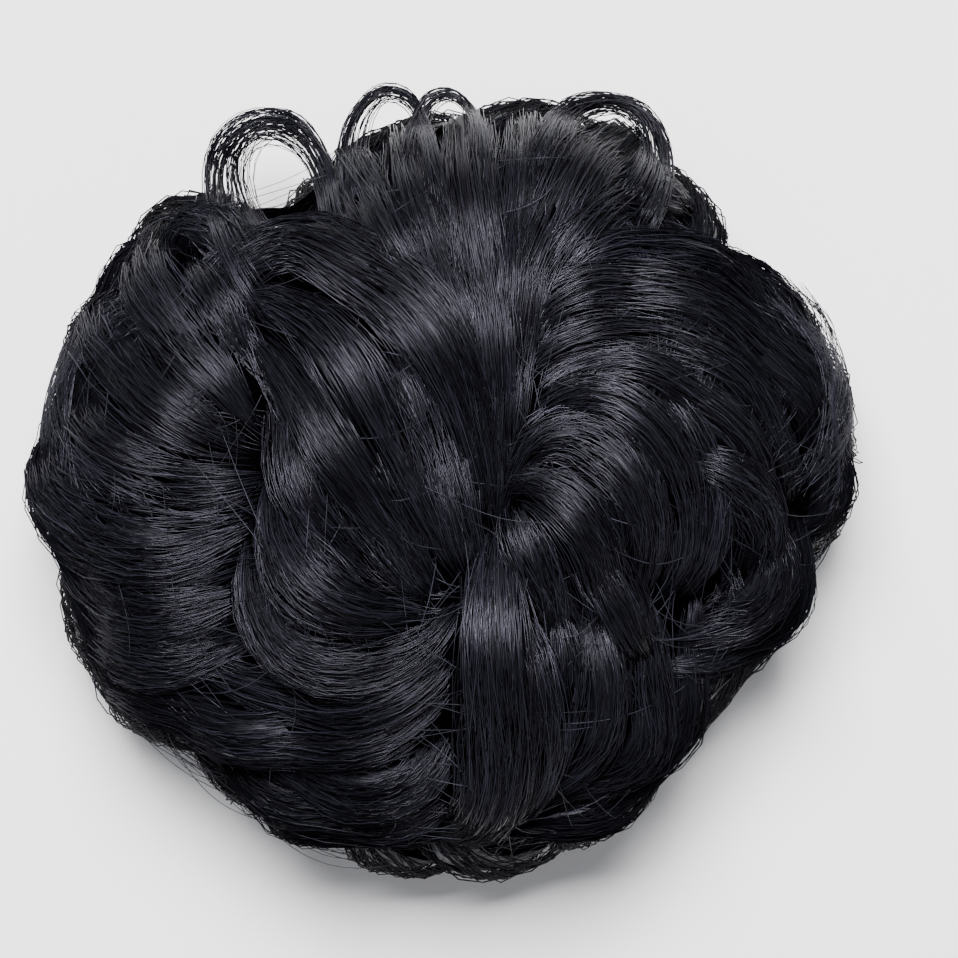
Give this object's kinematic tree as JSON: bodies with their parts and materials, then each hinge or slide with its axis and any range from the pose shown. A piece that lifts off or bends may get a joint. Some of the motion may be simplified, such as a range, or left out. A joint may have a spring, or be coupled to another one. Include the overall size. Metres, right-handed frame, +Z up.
{
  "type": "messy top knot hairpiece",
  "caption": "Round messy top knot of wavy dark locks on a hidden elastic ring, hollow underneath for the wearer's own bun.",
  "frame": {"origin": "centre of the bounding box at its base, on the surface that the hairpiece lies on", "axes": "+Z up out of the crown, +Y towards the top of the knot as the picture shows it, +X to its right hand side"},
  "size_m": [0.1272, 0.122, 0.0582],
  "materials": {
    "modacrylic_hair": "black synthetic hair fibre with a satin, cool grey sheen",
    "covered_elastic": "matt black braided cover over an elastic core"
  },
  "bodies": {
    "root": {"hair_bun": "modacrylic_hair", "elastic_band": "covered_elastic"}
  },
  "joints": []
}
